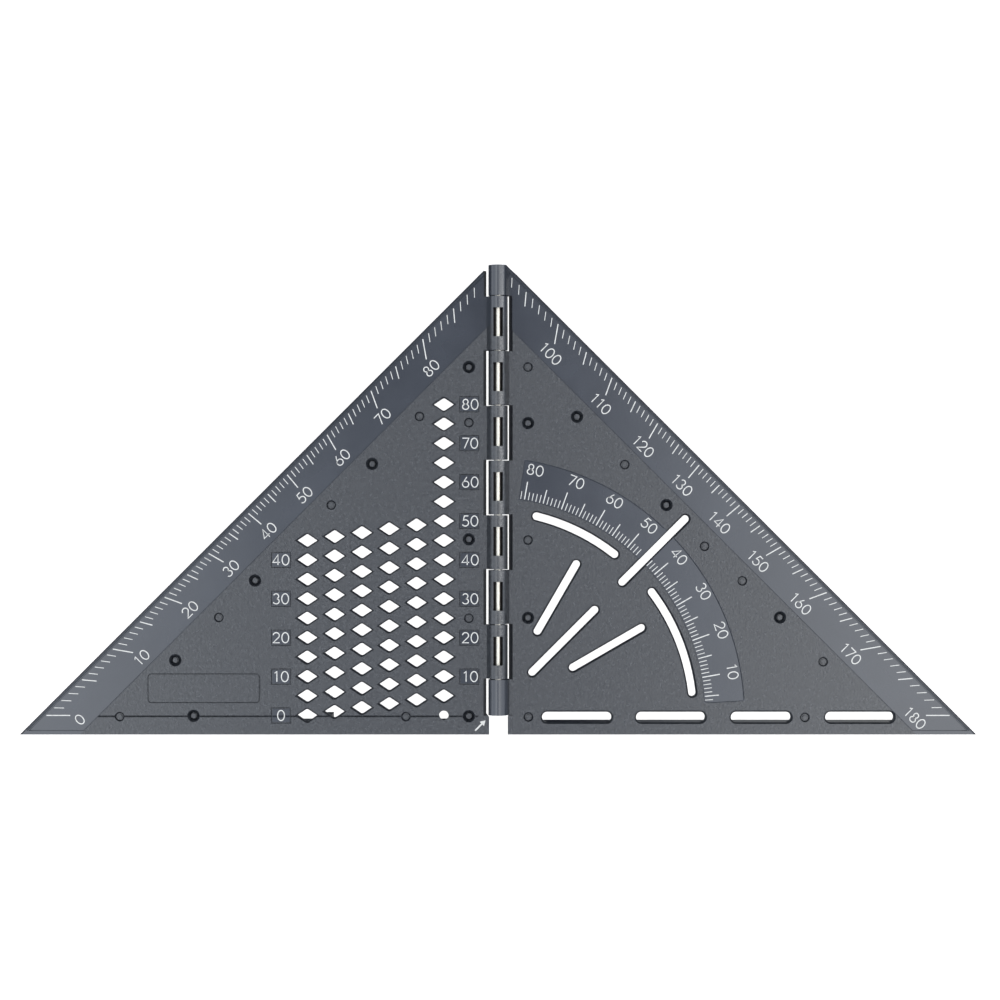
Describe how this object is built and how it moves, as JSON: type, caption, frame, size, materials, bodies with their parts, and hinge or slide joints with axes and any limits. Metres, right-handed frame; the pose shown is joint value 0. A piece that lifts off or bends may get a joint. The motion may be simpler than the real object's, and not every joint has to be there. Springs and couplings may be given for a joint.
{
  "type": "folding mitre square",
  "caption": "Folding two-leaf mitre and speed square with a fence, a degree scale along each slope, a pencil-hole gauge leaf and a slotted protractor leaf on a pin hinge",
  "frame": {"origin": "middle of the base of the bounding box, under the hinge, with the fence feet on the ground plane", "axes": "X runs along the base edge, Y up the hinge from the base edge to the apex, Z out of the printed face"},
  "size_m": [0.246, 0.1206, 0.0127],
  "materials": {
    "moulded_plastic": "fine spark-eroded matte texture with smoother scale bands",
    "pin_steel": "drawn wire, slightly brushed along its length",
    "scale_print": "thin pad-printed off-white ink"
  },
  "bodies": {
    "protractor": {"protractor_leaf": "moulded_plastic", "hinge_pin": "pin_steel"},
    "gauge": {"gauge_leaf": "moulded_plastic"}
  },
  "joints": [
    {"name": "leaf_fold", "type": "hinge", "parent": "protractor", "child": "gauge", "pos_m": [0, 0, 0.0102], "axis": [0, 1, 0], "range_deg": [-90, 180]}
  ]
}
